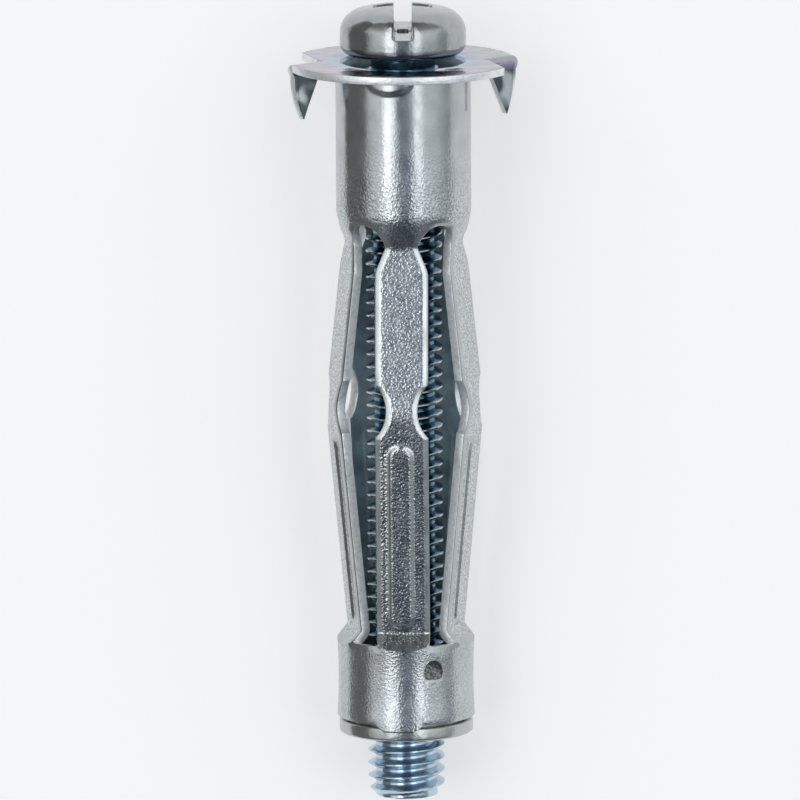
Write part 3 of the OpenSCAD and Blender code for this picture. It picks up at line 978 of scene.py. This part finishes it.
def helical_thread(p, top, tip):
    """The threaded shank: a tooth's outline wound round the axis and cut off at both ends."""
    major = p.thread_d / 2
    minor = major - p.thread_depth
    crest, root, steps = 0.05 * MM, 0.02 * MM, 40
    tooth = [(minor, 0), (minor + root, 0.12), (major - crest, 0.41), (major, 0.455),
             (major, 0.545), (major - crest, 0.59), (minor + root, 0.88), (minor, 1)]
    turns = ceil((top - tip) / p.pitch) + 2
    start = tip - 1.5 * p.pitch
    bm = bmesh.new()
    geom = outline(bm, [(radius, start + share * p.pitch) for radius, share in tooth])
    swept(bm, geom, tau * turns, steps * turns, rise=p.pitch / steps)
    bmesh.ops.remove_doubles(bm, verts=bm.verts, dist=2e-3 * MM)
    for vert in bm.verts:
        radius = hypot(vert.co.x, vert.co.y)
        allowed = major - p.thread_depth * (tip + p.tip_chamfer - vert.co.z) / p.tip_chamfer
        if radius > allowed > 0:
            vert.co.xy *= allowed / radius
    for height, side in ((top, 1), (tip, -1)):
        cut = bmesh.ops.bisect_plane(bm, geom=everything(bm), dist=1e-4 * MM, plane_co=(0, 0, height),
                                     plane_no=(0, 0, side), clear_outer=True)
        bmesh.ops.edgeloop_fill(bm, edges=only(BMEdge, cut["geom_cut"]))
    tidied(bm)
    return bm


def head_outline(p):
    """The pan head's section: a neck, a rounded foot, a side, a rounded brow and the dome."""
    radius = (SCREW_BOX[1].x - SCREW_BOX[0].x) / 2
    low, top, sunk = p.head_gap, p.head_gap + p.head_h, -0.9 * MM
    dome_centre = top - p.dome_r
    brow_x = radius - p.brow_r
    brow_z = dome_centre + sqrt((p.dome_r - p.brow_r) ** 2 - brow_x ** 2)
    brow_end = degrees(atan2(brow_z - dome_centre, brow_x))
    neck_r, flare = p.thread_d / 2 - 0.8 * p.thread_depth, 0.1 * MM
    points = [(0, sunk), (neck_r, sunk), (neck_r, low - flare), (neck_r + flare, low)]
    points += arc((radius - p.foot_r, low + p.foot_r), p.foot_r, -90, 0, 10)
    points += arc((brow_x, brow_z), p.brow_r, 0, brow_end, 14)
    points += arc((0, dome_centre), p.dome_r, brow_end, 90, 10)[1:]
    return points[:-1] + [(0, top)]


def slot_cutter(p, top):
    """The slot across the head."""
    bm = block(p.slot_w, 14 * MM, 2 * p.slot_depth)
    low = [e for e in bm.edges if all(v.co.z < 0 for v in e.verts)
           and abs(e.verts[0].co.y - e.verts[1].co.y) > 1 * MM]
    rounded(bm, low, 0.18 * MM, 4)
    bmesh.ops.translate(bm, verts=bm.verts, vec=(0, 0, top))
    return bm


def cross_cutter(p, top, turn):
    """One tapering arm pair of the cross recess."""
    bm = block(1, 1, 1)
    for vert in bm.verts:
        width, reach, height = p.slot_w * 0.92, p.cross_reach * 1.12, 0.4 * MM
        if vert.co.z < 0:
            width, reach, height = 0.7 * MM, 0.7 * MM, -p.cross_depth
        vert.co = (vert.co.x * width, vert.co.y * 2 * reach, height)
    rounded(bm, [e for e in bm.edges if abs(e.verts[0].co.z - e.verts[1].co.z) > 1 * MM], 0.2 * MM, 3)
    swung(bm, turn)
    bmesh.ops.translate(bm, verts=bm.verts, vec=(0, 0, top))
    return bm


class ANCHOR_OT_screw(Operator):
    """Builds the screw: a wound thread and a slotted, cross-recessed pan head."""
    bl_idname = "anchor.screw"
    bl_label = "Screw"

    def execute(self, context):
        p, colours = context.scene.anchor_screw, context.scene.anchor_finishes
        top, thread_top, tip = p.head_gap + p.head_h, -0.5 * MM, p.head_gap - p.length
        obj = new_piece("machine_screw", turned(head_outline(p)), rolled_thread(colours))
        combined(obj, "slot_cutter", slot_cutter(p, top))
        for arm_turn in (0, pi / 2):
            combined(obj, "cross_cutter", cross_cutter(p, top, arm_turn))

        def slot_edge(edge):
            middle = (edge.verts[0].co + edge.verts[1].co) / 2
            return edge.calc_face_angle() > radians(38) and middle.z > p.head_gap + 0.5 * MM

        softened(obj, p.edge_r, slot_edge)
        combined(obj, "thread", helical_thread(p, thread_top, tip), "UNION")
        seated(obj, "screw", "screw", sharp=32)
        return {"FINISHED"}


# ---- stage ----

# the camera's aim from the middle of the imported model, its distance, focal length and angles
AIM = Vector((-0.36, 0.55, 2.78)) * MM
DISTANCE, LENS = 1.5, 880
TILT, ROLL = radians(6.07), radians(-0.3)

# the studio's tones from left to right and from the tip's end to the head's, as
# (share of the way, colour) stops
TONES_ACROSS = (
    (0.0, (0.16, 0.155, 0.14)), (0.035, (0.18, 0.175, 0.16)), (0.065, (0.8, 0.8, 0.79)),
    (0.15, (1.15, 1.15, 1.14)), (0.34, (0.7, 0.73, 0.75)), (0.47, (0.27, 0.31, 0.36)),
    (0.56, (0.28, 0.32, 0.37)), (0.66, (0.72, 0.77, 0.81)), (0.78, (1.05, 1.08, 1.1)),
    (0.93, (0.88, 0.9, 0.9)), (0.975, (0.55, 0.57, 0.58)), (1.0, (0.42, 0.44, 0.45)))
TONES_ALONG = (
    (0.0, (0.3, 0.3, 0.32)), (0.28, (0.15, 0.17, 0.2)), (0.38, (0.85, 0.86, 0.88)),
    (0.49, (1.0, 1.05, 1.12)), (0.72, (1.0, 1.0, 1.0)), (0.84, (0.35, 0.35, 0.35)),
    (0.97, (0.3, 0.3, 0.3)), (1.0, (0.6, 0.6, 0.6)))


def floor_material(colours):
    """Pale floor that keeps the object's shadow, and glows a little where it is seen."""
    material, shader = new_material("pale_floor", 0.9)
    tree = material.node_tree
    shader.inputs["Base Color"].default_value = (*colours.floor, 1)
    shader.inputs["Emission Color"].default_value = (0.5, 0.5, 0.5, 1)
    seen = new_node(tree, "LightPath", "Is Camera Ray")
    for ray in ("Is Glossy Ray", "Is Transmission Ray"):
        entries = {"Value": seen, "Value_001": new_node(tree, "LightPath", ray)}
        seen = new_node(tree, "Math", "Value", entries, operation="MAXIMUM")
    tree.links.new(seen, shader.inputs["Emission Strength"])
    return material


def held(data, location, turn):
    """An object for a lamp or a camera, turned by a matrix."""
    obj = new_object(data)
    obj.location = location
    obj.rotation_mode = "QUATERNION"
    obj.rotation_quaternion = turn.to_quaternion()
    return obj


def soft_box(name, aside, width, radiance):
    """A long soft lamp over the object, so many degrees aside of straight up."""
    length, distance, along = 1.1, 0.6, 0.33
    lamp = bpy.data.lights.new(name, "AREA")
    lamp.shape = "RECTANGLE"
    lamp.size, lamp.size_y = width, length
    lamp.energy = radiance * pi * width * length
    turn = radians(aside)
    away, lengthwise = Vector((sin(turn), 0, cos(turn))), Vector((0, 1, 0))
    held(lamp, away * distance + lengthwise * along,
         Matrix((lengthwise.cross(away), lengthwise, away)).transposed())


def side_card():
    """A dull card along the object's left side, which only its reflections show."""
    bm = block(0.5 * MM, 130 * MM, 18 * MM)
    bmesh.ops.translate(bm, verts=bm.verts, vec=(-25 * MM, 0, 9.1 * MM))
    material, shader = new_material("dull_card", 0.9)
    shader.inputs["Base Color"].default_value = (0.36, 0.355, 0.33, 1)
    card = new_piece("side_card", bm, material)
    card.visible_camera = card.visible_diffuse = card.visible_shadow = False


def graded(tree, source, tones):
    """A colour that goes through a row of tones as the source goes from -1 to 1."""
    share = new_node(tree, "MapRange", "Result", {"Value": source, "From Min": -1})
    colour_ramp = new_node(tree, "ValToRGB", "Color", {"Fac": share})
    stops = colour_ramp.node.color_ramp.elements
    while len(stops) < len(tones):
        stops.new(0.5)
    for stop, (at, tone) in zip(stops, tones):
        stop.position = at
        stop.color = (*tone, 1)
    return colour_ramp


def studio_world():
    """A grey studio, darker to the left of the object."""
    world = bpy.data.worlds.new("studio")
    bpy.context.scene.world = world
    world.use_nodes = True
    tree = world.node_tree
    way = new_node(tree, "TexCoord", "Generated")
    across = graded(tree, new_node(tree, "SeparateXYZ", "X", {"Vector": way}), TONES_ACROSS)
    along = graded(tree, new_node(tree, "SeparateXYZ", "Y", {"Vector": way}), TONES_ALONG)
    both = new_node(tree, "Mix", "Result_Color", {"Factor_Float": 1, "A_Color": across, "B_Color": along},
                    data_type="RGBA", blend_type="MULTIPLY")
    tree.links.new(both, tree.nodes["Background"].inputs["Color"])


class ANCHOR_OT_stage(Operator):
    """Sets up the pale floor, the soft boxes, the studio and the camera."""
    bl_idname = "anchor.stage"
    bl_label = "Stage"

    def execute(self, context):
        scene = context.scene
        scene.view_settings.view_transform = "Standard"
        bm = bmesh.new()
        bmesh.ops.create_circle(bm, cap_ends=True, segments=64, radius=6)
        floor = new_piece("floor", bm, floor_material(scene.anchor_finishes))
        soft_box("left_box", aside=-24, width=0.2, radiance=1.6)
        soft_box("right_box", aside=24, width=0.17, radiance=1.05)
        side_card()
        studio_world()
        camera = bpy.data.cameras.new("camera")
        camera.lens = LENS
        camera.clip_start, camera.clip_end = 0.01, 50
        back = Vector((0, sin(TILT), cos(TILT)))
        level = Matrix((ACROSS, back.cross(ACROSS), back)).transposed()
        middle = (CAD_BOX[0] + CAD_BOX[1]) / 2
        scene.camera = held(camera, middle + AIM + back * DISTANCE, level @ Matrix.Rotation(ROLL, 3, "Z"))
        return {"FINISHED"}


class ANCHOR_PT_panel(Panel):
    """Lists the anchor's pieces and their sizes."""
    bl_label = "Hollow Wall Anchor"
    bl_idname = "ANCHOR_PT_panel"
    bl_space_type = "VIEW_3D"
    bl_region_type = "UI"
    bl_category = "Anchor"

    def draw(self, context):
        for piece in ("stage", "sleeve", "nut", "screw"):
            box = self.layout.box()
            box.operator("anchor." + piece)
            values = getattr(context.scene, "anchor_" + piece.replace("stage", "finishes"))
            for key in values.__annotations__:
                box.prop(values, key)


GROUPS = {"anchor_sleeve": SleeveSizes, "anchor_nut": NutSizes, "anchor_screw": ScrewSizes,
          "anchor_finishes": Finishes}
CLASSES = (*GROUPS.values(), ANCHOR_OT_stage, ANCHOR_OT_sleeve, ANCHOR_OT_nut, ANCHOR_OT_screw,
           ANCHOR_PT_panel)


def register():
    for cls in CLASSES:
        bpy.utils.register_class(cls)
    for name, group in GROUPS.items():
        setattr(bpy.types.Scene, name, PointerProperty(type=group))


def unregister():
    for name in GROUPS:
        delattr(bpy.types.Scene, name)
    for cls in reversed(CLASSES):
        bpy.utils.unregister_class(cls)


def main():
    register()
    bpy.ops.anchor.stage()
    bpy.ops.anchor.sleeve()
    bpy.ops.anchor.nut()
    bpy.ops.anchor.screw()


if __name__ == "__main__":
    main()
